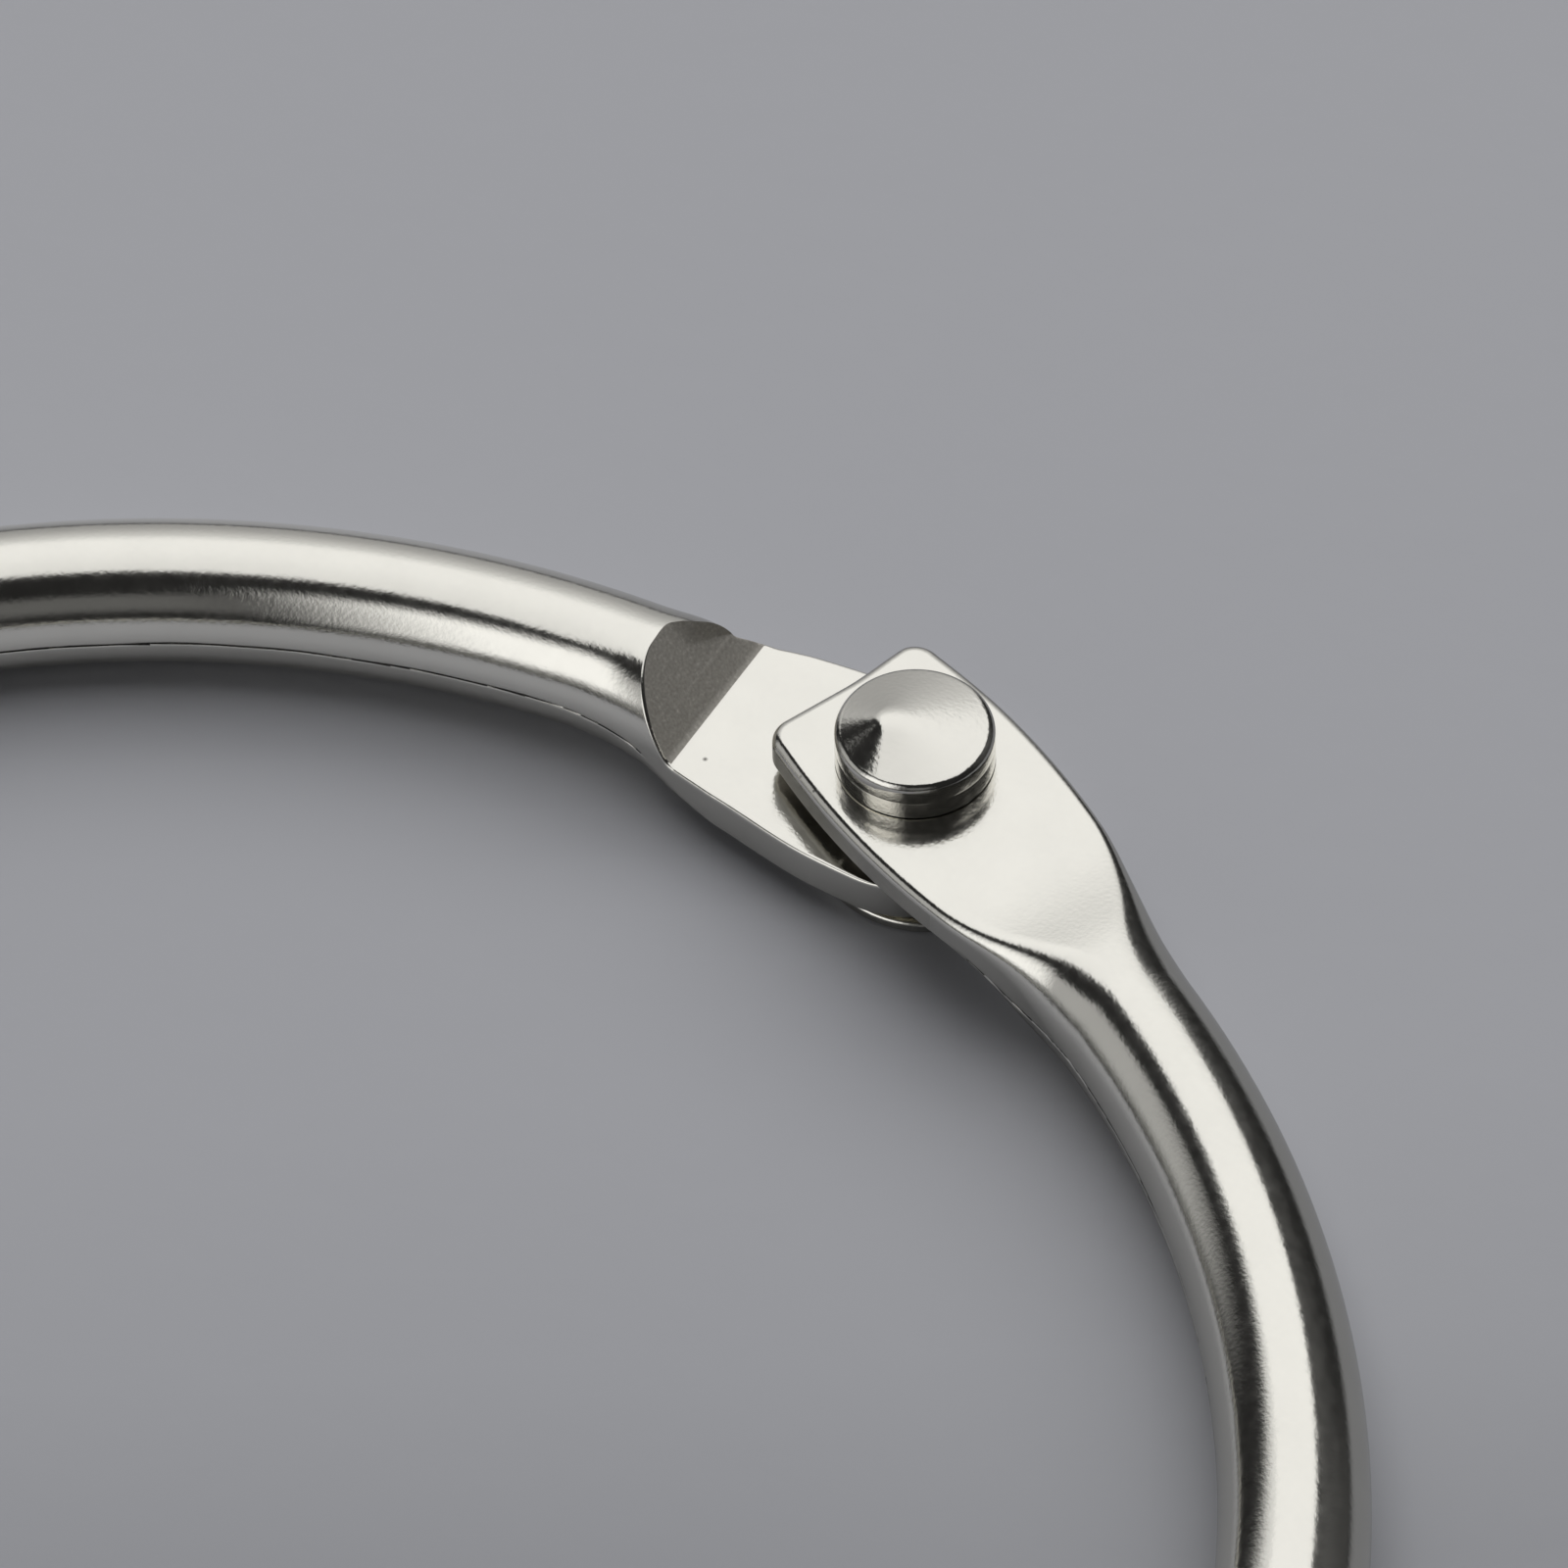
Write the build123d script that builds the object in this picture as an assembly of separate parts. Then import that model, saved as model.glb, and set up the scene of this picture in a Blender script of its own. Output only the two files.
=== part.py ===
from build123d import *
import math
import os

# A hinged binder ring that lies flat. Two half rings of round wire are pressed into flat
# tongues at one end and riveted together there. At the other end a ball snaps into a socket.
# Millimetres. The origin is the ring's centre on the surface that it lies on, the hinge
# is on +Y, and +Z points up through the loop.

# Ring
ring_radius = 23.5  # centre line of the wire
wire_diameter = 3.0
hinge_offset = 0.5  # rivet axis, outside the centre line

# Tongues. Lengths along a half ring are measured on its centre line, from the rivet axis.
# A flare is how far a tongue is spread past the round wire, on each side.
face_rise = 0.03  # face of the lower tongue, above the wire's centre line
lower_thickness = 0.96
tongue_gap = 0.27  # between the two tongues
upper_thickness = 0.86
tongue_join = 3.4  # where the flat tongue ends and the neck begins
edge_radius = 0.24  # rolled edges
upper_end = 2.5  # square end of the upper tongue, past the rivet axis
upper_end_flare = 0.52
upper_flare = 0.8  # at the widest place of the upper tongue
upper_join_flare = 0.61
upper_corner = 0.6
lower_eye_flare = 0.96  # at the round end of the lower tongue
lower_join_flare = 0.7

# Necks: where the wire is round again, then the stations along each neck as shares of its length,
# and at each station how far each size has gone from the tongue's value to the round wire's
upper_neck_end = 7.6
upper_neck_shares = (0.07, 0.18, 0.36, 0.54, 0.72, 0.86)
upper_width_shares = (0.07, 0.22, 0.53, 0.79, 0.94, 0.985)
upper_top_shares = (0.01, 0.06, 0.27, 0.59, 0.88, 0.97)
upper_bottom_shares = (0.01, 0.06, 0.28, 0.61, 0.88, 0.97)
upper_corner_shares = (0.01, 0.05, 0.18, 0.45, 0.78, 0.93)
lower_neck_end = 6.8
lower_neck_shares = (0.07, 0.18, 0.36, 0.52, 0.66, 0.82)
lower_width_shares = (0.05, 0.16, 0.4, 0.66, 0.86, 0.97)
lower_bottom_shares = (0.01, 0.06, 0.23, 0.46, 0.67, 0.89)
lower_corner_shares = (0.01, 0.05, 0.18, 0.4, 0.64, 0.88)
flat_half_angle = 4.0  # degrees of the round section that grow into each flat

# Sloping step above the lower tongue
fold_along = 4.79  # foot of the step
step_length = 1.36
fold_radius = 0.4

# Rivet
shank_radius = 1.0
press_clearance = 0.02  # shank in the lower tongue
running_clearance = 0.05  # shank in the upper tongue
head_clearance = 0.03  # upper head over the upper tongue
head_radius = 1.65
head_height = 0.9  # straight side of the upper head
rim_radius = 0.2
groove_height = 0.46  # groove in the side, above the underside of the head
groove_width = 0.1
groove_depth = 0.04
dome_slope = 21.0  # degrees
dome_tip_radius = 1.6
foot_radius = 2.36
foot_shift_x = 0.28  # the foot was closed a little off the rivet axis
foot_shift_y = 0.07
foot_lift = 0.02  # underside of the foot, above the surface that the ring lies on
foot_bevel_width = 0.6
foot_bevel_share = 0.51  # of the foot's height
foot_edge = 0.05
shank_root_share = 0.5  # of the foot's height, where the shank is rooted

# Clasp
clasp_gap = 0.06  # between the two end faces
ball_radius = 0.85
ball_reach = 1.6  # ball centre, from the end face
stem_radius = 0.52
socket_clearance = 0.05
socket_depth = 2.9
mouth_chamfer = 0.12
slit_height = 0.4
slit_depth = 3.3
end_chamfer = 0.18

overrun = 1.0  # how far cuts run past what they cut
same_place = 0.000001

# Places that follow from the sizes above
wire_radius = wire_diameter / 2
hinge_radius = ring_radius + hinge_offset
straight_length = math.sqrt(hinge_radius**2 - ring_radius**2)
hinge_angle = math.degrees(math.acos(ring_radius / hinge_radius))
lower_top = wire_radius + face_rise
lower_bottom = lower_top - lower_thickness
upper_bottom = lower_top + tongue_gap
upper_top = upper_bottom + upper_thickness
upper_join_half_width = wire_radius + upper_join_flare
lower_join_half_width = wire_radius + lower_join_flare
lower_eye_radius = wire_radius + lower_eye_flare
shoulder_radius = wire_radius - edge_radius  # above the lower tongue, before the step is cut
left, right = -1, 1


def wire_plane(side, along):
    """Plane across a half ring, with y up."""
    turn = math.degrees(max(along - straight_length, 0) / ring_radius)
    bearing = math.radians(90 - side * (hinge_angle + turn))
    outward = Vector(math.cos(bearing), math.sin(bearing), 0)
    onward = Vector(math.sin(bearing), -math.cos(bearing), 0) * side
    origin = outward * ring_radius + onward * min(along - straight_length, 0)
    return Plane(origin=origin, x_dir=outward * side, z_dir=onward)


def tongue_plane(side, height):
    """Level plane at the rivet axis, with x along the tongue towards the wire."""
    across = wire_plane(side, 0)
    return Plane(origin=across.origin + Vector(0, 0, height), x_dir=across.z_dir, z_dir=(0, 0, 1))


def between(start, finish, share):
    return start + (finish - start) * share


def round_section(plane):
    """The round wire, in as many edges as a pressed section."""
    centre = (0, wire_radius)
    edges = []
    for quarter in range(4):
        start = 90 * quarter - flat_half_angle
        edges.append(CenterArc(centre, wire_radius, start, 2 * flat_half_angle))
        edges.append(CenterArc(centre, wire_radius, start + 2 * flat_half_angle, 90 - 2 * flat_half_angle))
    return plane * make_face(edges)


def pressed_section(plane, half_width, bottom, top, low_corner, high_corner):
    """A rectangle with one radius at its lower corners and one at its upper corners."""
    high_x = half_width - high_corner
    low_x = half_width - low_corner
    high_y = top - high_corner
    low_y = bottom + low_corner
    edges = [
        Line((half_width, low_y), (half_width, high_y)),
        CenterArc((high_x, high_y), high_corner, 0, 90),
        Line((high_x, top), (-high_x, top)),
        CenterArc((-high_x, high_y), high_corner, 90, 90),
        Line((-half_width, high_y), (-half_width, low_y)),
        CenterArc((-low_x, low_y), low_corner, 180, 90),
        Line((-low_x, bottom), (low_x, bottom)),
        CenterArc((low_x, low_y), low_corner, 270, 90),
    ]
    return plane * make_face(edges)


def join_face(plate, side):
    """The face of a plate where it goes over into its neck."""
    join = wire_plane(side, tongue_join)
    return plate.faces().sort_by(lambda face: abs(join.to_local_coords(face.center()).Z))[0]


def upper_neck(plate):
    """Loft from the upper tongue, pressed from above and below, to the round wire."""
    rows = zip(
        upper_neck_shares,
        upper_width_shares,
        upper_bottom_shares,
        upper_top_shares,
        upper_corner_shares,
    )
    sections = [join_face(plate, right)]
    for place, width_share, bottom_share, top_share, corner_share in rows:
        corner = between(edge_radius, wire_radius, corner_share)
        sections.append(pressed_section(
            wire_plane(right, between(tongue_join, upper_neck_end, place)),
            between(upper_join_half_width, wire_radius, width_share),
            between(upper_bottom, 0, bottom_share),
            between(upper_top, wire_diameter, top_share),
            corner,
            corner,
        ))
    return loft(sections + [round_section(wire_plane(right, upper_neck_end))])


def lower_neck(plate):
    """Loft from the lower tongue's blank, pressed from below only, to the round wire."""
    rows = zip(lower_neck_shares, lower_width_shares, lower_bottom_shares, lower_corner_shares)
    sections = [join_face(plate, left)]
    for place, width_share, bottom_share, corner_share in rows:
        sections.append(pressed_section(
            wire_plane(left, between(tongue_join, lower_neck_end, place)),
            between(lower_join_half_width, wire_radius, width_share),
            between(lower_bottom, 0, bottom_share),
            wire_diameter,
            between(edge_radius, wire_radius, corner_share),
            between(shoulder_radius, wire_radius, corner_share),
        ))
    return loft(sections + [round_section(wire_plane(left, lower_neck_end))])


def round_wire(side, neck_end):
    """The round wire, from the neck to its end face at the clasp."""
    section = round_section(wire_plane(side, neck_end))
    neck_turn = math.degrees((neck_end - straight_length) / ring_radius)
    gap_turn = math.degrees(clasp_gap / 2 / ring_radius)
    wire = revolve(section, Axis((0, 0, 0), (0, 0, -side)), 180 - hinge_angle - neck_turn - gap_turn)
    end_face = wire.faces().filter_by(GeomType.PLANE).sort_by(Axis.Y)[0]
    return chamfer(end_face.edges(), end_chamfer)


def level_edges(plate, side, height):
    """The level edges of a plate at a height, without the one where it joins its neck."""
    join = wire_plane(side, tongue_join)
    chosen = []
    for edge in plate.edges():
        ends = (edge @ 0, edge @ 1)
        at_height = all(abs(end.Z - height) < same_place for end in ends)
        at_join = all(abs(join.to_local_coords(end).Z) < same_place for end in ends)
        if at_height and not at_join:
            chosen.append(edge)
    return chosen


def upper_plate():
    """The flat upper tongue: a barrel outline with a square end and rolled edges."""
    start = (-upper_end, wire_radius + upper_end_flare)
    crest = ((tongue_join - upper_end) / 2, wire_radius + upper_flare)
    finish = (tongue_join, upper_join_half_width)
    flank = ThreePointArc(start, crest, finish)
    end = Line(start, (start[0], -start[1]))
    join = Line(finish, (finish[0], -finish[1]))
    outline = make_face([flank, mirror(flank, Plane.XZ), end, join])
    outline = fillet(outline.vertices().group_by(Axis.X)[0], upper_corner)
    plate = extrude(tongue_plane(right, upper_bottom) * outline, upper_thickness)
    edges = level_edges(plate, right, upper_bottom) + level_edges(plate, right, upper_top)
    return fillet(edges, edge_radius)


def lower_plate():
    """Blank of the lower tongue: a round eye with rolled lower edges, as high as the wire."""
    finish = (tongue_join, lower_join_half_width)
    flank = TangentArc((0, lower_eye_radius), finish, tangent=(1, 0))
    eye = CenterArc((0, 0), lower_eye_radius, 90, 180)
    join = Line(finish, (finish[0], -finish[1]))
    outline = make_face([flank, eye, mirror(flank, Plane.XZ), join])
    plate = extrude(tongue_plane(left, lower_bottom) * outline, wire_diameter - lower_bottom)
    plate = fillet(level_edges(plate, left, lower_bottom), edge_radius)
    return fillet(level_edges(plate, left, wire_diameter), shoulder_radius)


def rivet_hole(clearance):
    """Cut for the shank, through either tongue."""
    height = wire_diameter + 2 * overrun
    return Pos(0, hinge_radius, wire_radius) * Cylinder(shank_radius + clearance, height)


def step_cut():
    """All that is pressed and sheared away above the lower tongue, up to the sloping step."""
    rise = wire_diameter - lower_top + overrun
    run = step_length * rise / (wire_diameter - lower_top)
    back = -lower_eye_radius - overrun
    fold = (fold_along, lower_top)
    slope_end = (fold_along + run, lower_top + rise)
    outline = make_face(Polyline((back, lower_top), fold, slope_end, (back, lower_top + rise), close=True))
    outline = fillet(outline.vertices().sort_by_distance(fold)[0], fold_radius)
    level = tongue_plane(left, 0)
    upright = Plane(origin=level.origin, x_dir=level.x_dir, z_dir=-level.y_dir)
    return extrude(upright * outline, lower_eye_radius + overrun, both=True)


def clasp_place(reach):
    """A place on the clasp's axis, a distance to the left of the middle of its gap."""
    return Pos(-reach, -ring_radius, wire_radius)


def ball_pin():
    """Ball on a stem that is rooted in the wire, turned about the clasp's axis."""
    neck = ball_reach - math.sqrt(ball_radius**2 - stem_radius**2)
    neck_bearing = math.degrees(math.asin(stem_radius / ball_radius))
    ball = CenterArc((ball_reach, 0), ball_radius, 0, 180 - neck_bearing)
    tip = (ball_reach + ball_radius, 0)
    stem = Polyline((neck, stem_radius), (-ball_radius, stem_radius), (-ball_radius, 0), tip)
    end_face = Vector(clasp_gap / 2, -ring_radius, wire_radius)
    upright = Plane(origin=end_face, x_dir=(-1, 0, 0), z_dir=(0, 1, 0))
    return revolve(upright * make_face([ball, stem]), Axis(end_face, (-1, 0, 0)))


def socket_cut():
    """Drilled socket with a chamfered mouth, and the slit that lets it spring."""
    radius = ball_radius + socket_clearance
    mouth = clasp_gap / 2
    drill_place = clasp_place(mouth + (socket_depth - overrun) / 2) * Rot(0, 90, 0)
    drill = drill_place * Cylinder(radius, socket_depth + overrun)
    funnel_place = clasp_place(mouth + mouth_chamfer / 2) * Rot(0, -90, 0)
    funnel = funnel_place * Cone(radius + mouth_chamfer, radius, mouth_chamfer)
    slit_place = clasp_place(mouth + (slit_depth - overrun) / 2)
    slit = slit_place * Box(slit_depth + overrun, wire_diameter + 2 * overrun, slit_height)
    return drill + funnel + slit


def make_ball_half():
    plate = upper_plate()
    half = plate + upper_neck(plate) + round_wire(right, upper_neck_end)
    return half + ball_pin() - rivet_hole(running_clearance)


def make_socket_half():
    plate = lower_plate()
    half = plate + lower_neck(plate) + round_wire(left, lower_neck_end)
    return half - step_cut() - rivet_hole(press_clearance) - socket_cut()


def rivet_foot():
    """Flat lower head with a bevelled upper side."""
    rim = (foot_radius, between(lower_bottom, foot_lift, foot_bevel_share))
    corner = (foot_radius, foot_lift)
    bevel_top = (foot_radius - foot_bevel_width, lower_bottom)
    profile = make_face(Polyline((0, foot_lift), corner, rim, bevel_top, (0, lower_bottom), close=True))
    for place in (rim, corner):
        profile = chamfer(profile.vertices().sort_by_distance(place)[0], foot_edge)
    return Pos(foot_shift_x, foot_shift_y, 0) * revolve(Plane.XZ * profile, Axis.Z)


def make_hinge_rivet():
    """Foot, shank, and an upper head with a grooved side and a blunt conical dome."""
    root = between(foot_lift, lower_bottom, shank_root_share)
    head_bottom = upper_top + head_clearance
    rim = (head_radius, head_bottom + head_height)
    groove = head_bottom + groove_height
    slope = math.radians(dome_slope)
    tip_edge = dome_tip_radius * math.sin(slope)
    tip_height = rim[1] + (head_radius - tip_edge) * math.tan(slope)
    tip_centre = (0, tip_height - dome_tip_radius * math.cos(slope))
    apex = (0, tip_centre[1] + dome_tip_radius)
    tip = CenterArc(tip_centre, dome_tip_radius, 90 - dome_slope, dome_slope)
    side = Polyline(
        (tip_edge, tip_height),
        rim,
        (head_radius, groove + groove_width / 2),
        (head_radius - groove_depth, groove),
        (head_radius, groove - groove_width / 2),
        (head_radius, head_bottom),
        (shank_radius, head_bottom),
        (shank_radius, root),
        (0, root),
        apex,
    )
    profile = make_face([tip, side])
    profile = fillet(profile.vertices().sort_by_distance(rim)[0], rim_radius)
    return Pos(0, hinge_radius, 0) * (revolve(Plane.XZ * profile, Axis.Z) + rivet_foot())


os.makedirs("parts", exist_ok=True)
export_step(make_ball_half(), "parts/ball_half.step")
export_step(make_socket_half(), "parts/socket_half.step")
export_step(make_hinge_rivet(), "parts/hinge_rivet.step")
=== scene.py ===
import math

import bmesh
import bpy
import numpy as np
from mathutils import Matrix, Vector


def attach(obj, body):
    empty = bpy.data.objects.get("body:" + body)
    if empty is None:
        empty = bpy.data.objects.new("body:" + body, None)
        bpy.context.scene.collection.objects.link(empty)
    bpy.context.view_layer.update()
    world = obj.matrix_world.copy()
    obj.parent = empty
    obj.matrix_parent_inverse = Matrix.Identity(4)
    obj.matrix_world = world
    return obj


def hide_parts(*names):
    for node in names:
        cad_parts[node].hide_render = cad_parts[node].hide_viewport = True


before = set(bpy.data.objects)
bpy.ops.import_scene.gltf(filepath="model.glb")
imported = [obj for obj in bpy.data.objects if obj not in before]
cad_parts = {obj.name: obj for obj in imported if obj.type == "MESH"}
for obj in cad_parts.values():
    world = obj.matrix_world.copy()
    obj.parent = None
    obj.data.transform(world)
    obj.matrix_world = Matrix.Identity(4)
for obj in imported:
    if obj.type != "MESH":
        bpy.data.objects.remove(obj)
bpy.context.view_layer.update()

# Sizes in millimetres. Lengths along a half ring run from the rivet axis, and widths are half widths.
ring_radius = 23.5  # centre line of the wire
wire_radius = 1.5
hinge_radius = 24.0
straight_length = math.sqrt(hinge_radius**2 - ring_radius**2)
hinge_angle = math.acos(ring_radius / hinge_radius)
tongue_join = 3.4  # where a tongue ends and its neck begins
edge_radius, low_edge_radius = 0.24, 0.09
fullest_corner = wire_radius - 0.001  # corner of the round wire's section

# Upper tongue and its neck. The steps say how far a size has gone to the round wire's, at each share of the neck.
upper_bottom, upper_top = 1.88, 2.66
upper_end, upper_corner = 2.5, 0.6  # square end, past the rivet axis
upper_end_width, upper_width, upper_join_width = 2.02, 2.3, 2.11
askew_cut, askew_trim = 0.16, 0.05  # the end was cut a little askew
askew_width, askew_length = 2.0, 2.4
upper_neck_end = 7.6
upper_neck_shares = (0, 0.07, 0.18, 0.36, 0.54, 0.72, 0.86, 1)
upper_width_steps = (0, 0.07, 0.22, 0.53, 0.79, 0.94, 0.985, 1)
upper_bottom_steps = (0, 0.01, 0.06, 0.28, 0.61, 0.88, 0.97, 1)
upper_top_steps = (0, 0.01, 0.06, 0.27, 0.59, 0.88, 0.97, 1)
upper_corner_steps = (0, 0.01, 0.05, 0.18, 0.45, 0.78, 0.93, 1)

# Lower tongue and its neck
lower_bottom, lower_top = 0.57, 1.53
eye_radius, lower_join_width = 2.46, 2.2
inner_bulge, bulge_along = 0.05, 1.0  # the inner side is fuller, from this length to the eye
lower_neck_end = 6.8
lower_neck_shares = (0, 0.07, 0.18, 0.36, 0.52, 0.66, 0.82, 1)
lower_width_steps = (0, 0.05, 0.16, 0.4, 0.66, 0.86, 0.97, 1)
lower_bottom_steps = (0, 0.005, 0.04, 0.17, 0.38, 0.62, 0.88, 1)
low_corner_steps = (0, 0.02, 0.09, 0.28, 0.52, 0.75, 0.93, 1)
high_corner_steps = (0, 0.01, 0.05, 0.18, 0.4, 0.64, 0.88, 1)

# By length along the lower neck: extra width of its inner side and of its outer side, and the lip beside the step
neck_flare = {3.4: 0, 4.0: 0.01, 4.6: 0.06, 5.1: 0.12, 5.6: 0.165, 6.1: 0.155, 6.6: 0.1, 7.2: 0.03, 7.8: 0}
neck_pinch = {4.4: 0, 4.79: 0.03, 5.0: -0.08, 5.2: -0.19, 5.4: -0.16, 5.65: -0.07, 6.0: -0.01, 6.4: 0}
step_lip = {5.2: 0, 5.35: 0.08, 5.5: 0.24, 5.65: 0.35, 5.8: 0.34, 5.9: 0.28, 6.05: 0.14, 6.15: 0}

# Sloping step above the lower tongue, with a rounded fold at its foot
fold_along, step_length, fold_radius = 4.79, 1.36, 0.4
step_end = fold_along + step_length
step_slope = math.atan2(2 * wire_radius - lower_top, step_length)
fold_back = fold_radius * math.tan(step_slope / 2)
fold_start, fold_end = fold_along - fold_back, fold_along + fold_back * math.cos(step_slope)
step_rim, plain_rim, rim_share = 0.09, 0.02, 0.45  # rolled rim of the cut
least_lip, lip_share, lip_spread = 0.01, 0.8, 1.2
dull_span = (fold_along - 0.05, step_end + 0.001)

# Seam along the inside of the wire, with painted shade on the faces along its groove
seam_depth, seam_reach, seam_shade_reach = 0.035, 0.042, 0.03
seam_run_in = 0.8
seam_inside = 1.0  # only what is farther out than this is pressed
seam_band, seam_band_share = 0.26, 0.3  # part of a side that is divided finely for the seam
seam_waves = ((0.02, 0.9, 0), (0.012, 2.3, 1))  # size, turn for each millimetre, start
upper_seam_start, upper_seam_shade_start = 3.9, 4.4
lower_seam_start, lower_seam_shade_start = 5.2, 5.6

# Rivet and clasp
shank_radius, press_clearance, running_clearance = 1.0, 0.02, 0.05
clasp_gap, end_chamfer = 0.06, 0.18
end_along = straight_length + ring_radius * (math.pi - hinge_angle) - clasp_gap / 2
ball_radius, ball_reach, stem_radius = 0.85, 1.6, 0.52
bore_radius, bore_depth, mouth_chamfer = 0.9, 2.9, 0.12
slit_depth, slit_height = 3.3, 0.4
overrun = 1.0  # how far the clasp's cuts run past what they cut
upper_hole_span, lower_hole_span = (1.0, 3.5), (0.0, 2.0)  # heights of the cutters for the shank's holes

MM = 0.001
QUARTER = math.pi / 2
OUTER, INNER = 1, -1
RIGHT, LEFT = 1, -1
UP, DOWN = Vector((0, 0, 1)), Vector((0, 0, -1))
PLATE, SEAM_SHADE, DULL_FACE_AND_SHADE, SHADED_WALL = range(4)  # material slots of a half ring
FLAT = math.radians(4)  # part of a corner that is divided with the flat beside it
ARC, WALL, TOP = 14, 16, 16  # divisions of a section's corners, sides, and top or bottom
SHORT_ARC, LOW_ARC, HIGH_ARC = 4, 6, 160  # points that a divided line is taken from
CUT_SIDE, SEAM_SIDE, RIM = 64, 16, 8  # divisions of a cut section's side, of its seam band and of its rim
STATION_GAP = 0.45
HOLE_SEGMENTS, CLASP_SEGMENTS, RIVET_SEGMENTS = 96, 72, 192
FLAT_COSINE = 0.9999998  # a face this near to a flat's direction belongs to it
CRISP = math.radians(40)  # edges sharper than this stay crisp


# Curves and sections

def spline(xs, ys, first_slope=0.0):
    """A smooth curve through points, level at its end and with a given slope at its start."""
    xs, ys = np.array(xs, float), np.array(ys, float)
    n = len(xs)
    h = np.diff(xs)
    a = np.zeros((n, n))
    b = np.zeros(n)
    a[0, :2] = 2 * h[0], h[0]
    b[0] = 6 * ((ys[1] - ys[0]) / h[0] - first_slope)
    a[-1, -2:] = h[-1], 2 * h[-1]
    b[-1] = -6 * ((ys[-1] - ys[-2]) / h[-1])
    for i in range(1, n - 1):
        a[i, i - 1:i + 2] = h[i - 1], 2 * (h[i - 1] + h[i]), h[i]
        b[i] = 6 * ((ys[i + 1] - ys[i]) / h[i] - (ys[i] - ys[i - 1]) / h[i - 1])
    m = np.linalg.solve(a, b)

    def value(x):
        i = int(np.clip(np.searchsorted(xs, x) - 1, 0, n - 2))
        p, q = xs[i + 1] - x, x - xs[i]
        return float((m[i] * p**3 + m[i + 1] * q**3) / (6 * h[i])
                     + (ys[i] / h[i] - m[i] * h[i] / 6) * p
                     + (ys[i + 1] / h[i] - m[i + 1] * h[i] / 6) * q)
    return value


def swell(amounts):
    """A smooth curve through amounts by length, and nothing outside them."""
    lengths = list(amounts)
    curve = spline(lengths, list(amounts.values()))

    def value(x):
        return curve(x) if lengths[0] < x < lengths[-1] else 0.0
    return value


def neck_sizes(neck_end, shares):
    """For one neck, a maker of curves that take a size from the tongue's value to the round wire's."""
    along = [tongue_join + (neck_end - tongue_join) * share for share in shares]

    def sizes(start, finish, steps, first_slope=0.0):
        return spline(along, [start + (finish - start) * step for step in steps], first_slope)
    return sizes


def smooth(low, high, x):
    """Goes smoothly from 0 at one value to 1 at the other."""
    t = min(max((x - low) / (high - low), 0), 1)
    return t * t * (3 - 2 * t)


def place(side, along, out, height):
    """A point of a half ring, from its length along, its distance outside the centre line and its height."""
    bearing = QUARTER - side * (hinge_angle + max(along - straight_length, 0) / ring_radius)
    c, s = math.cos(bearing), math.sin(bearing)
    back = min(along - straight_length, 0) * side
    r = ring_radius + out
    return (c * r + s * back, s * r - c * back, height)


def arc(cx, cy, radius, start, finish, n):
    """Points of an arc in n equal parts."""
    angles = np.linspace(start, finish, n + 1)
    return [(cx + radius * math.cos(t), cy + radius * math.sin(t)) for t in angles]


def measured(points):
    """A line's points as an array, and the length run at each."""
    p = np.array(points)
    return p, np.concatenate(([0], np.cumsum(np.hypot(*np.diff(p, axis=0).T))))


def points_at(p, run, lengths):
    """Points of a measured line at some lengths."""
    return list(zip(np.interp(lengths, run, p[:, 0]), np.interp(lengths, run, p[:, 1])))


def resample(points, n):
    """The same line in n equal lengths."""
    p, run = measured(points)
    return points_at(p, run, np.linspace(0, run[-1], n + 1))


def two_spans(fine, last, fine_count, count):
    """Lengths along a line: some up to a length, and others from there to the end."""
    return np.concatenate((np.linspace(0, fine, fine_count + 1)[1:], np.linspace(fine, last, count + 1)[1:]))


def cross_line(points):
    """From the end of one chain to its mirror image, over the top or bottom."""
    half = points + [(-u, v) for u, v in reversed(points)]
    return resample(half, TOP)[1:-1]


def upper_section(width, bottom, top, low_corner, corner):
    """Half of a section pressed from both sides, from its bottom up, and its top and bottom lines."""
    low = (width - low_corner, bottom + low_corner)
    high = (width - corner, top - corner)
    chain = arc(*low, low_corner, FLAT - QUARTER, -FLAT, ARC)
    p, run = measured(arc(*low, low_corner, -FLAT, 0, SHORT_ARC) + arc(*high, corner, 0, FLAT, SHORT_ARC))
    fine = min(2 * low_corner * FLAT, run[-1] / 2)
    chain += points_at(p, run, two_spans(fine, run[-1], WALL // 2, WALL // 2))
    chain += arc(*high, corner, FLAT, QUARTER - FLAT, ARC)[1:]
    top_line = cross_line(arc(*high, corner, QUARTER - FLAT, QUARTER, SHORT_ARC))
    bottom_line = cross_line(arc(*low, low_corner, FLAT - QUARTER, -QUARTER, SHORT_ARC))
    return chain, top_line, bottom_line


def cut_height(along):
    """Height of the lower tongue's face and of the sloping step above it."""
    if along <= fold_start:
        return lower_top
    if along <= fold_end:
        return lower_top + fold_radius - math.sqrt(fold_radius**2 - (along - fold_start)**2)
    return lower_top + (along - fold_along) * math.tan(step_slope)


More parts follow.
